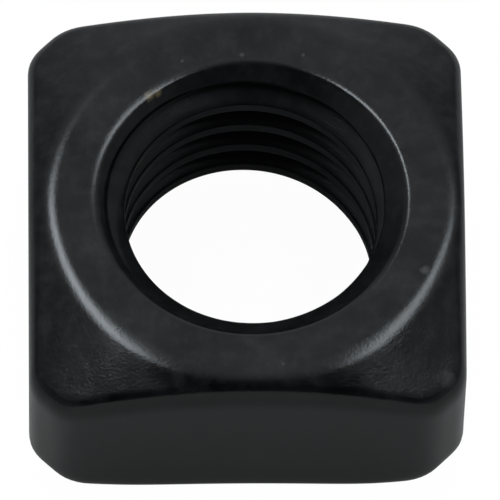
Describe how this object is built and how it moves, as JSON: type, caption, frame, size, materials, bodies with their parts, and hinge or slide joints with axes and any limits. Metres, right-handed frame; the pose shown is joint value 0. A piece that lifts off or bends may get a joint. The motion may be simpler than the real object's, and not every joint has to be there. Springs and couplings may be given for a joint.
{
  "type": "square nut",
  "caption": "Square steel nut with a right-hand metric thread, its upper face chamfered to the corners round a flat ring, blackened all over.",
  "frame": {"origin": "centre of the flat bearing face, on the thread's axis", "axes": "+Z along the thread towards the chamfered face, +X and +Y square to two of the flats"},
  "size_m": [0.018, 0.018, 0.0088],
  "materials": {
    "black_steel": "satin black oxide on steel"
  },
  "bodies": {
    "root": {"square_nut": "black_steel"}
  },
  "joints": []
}
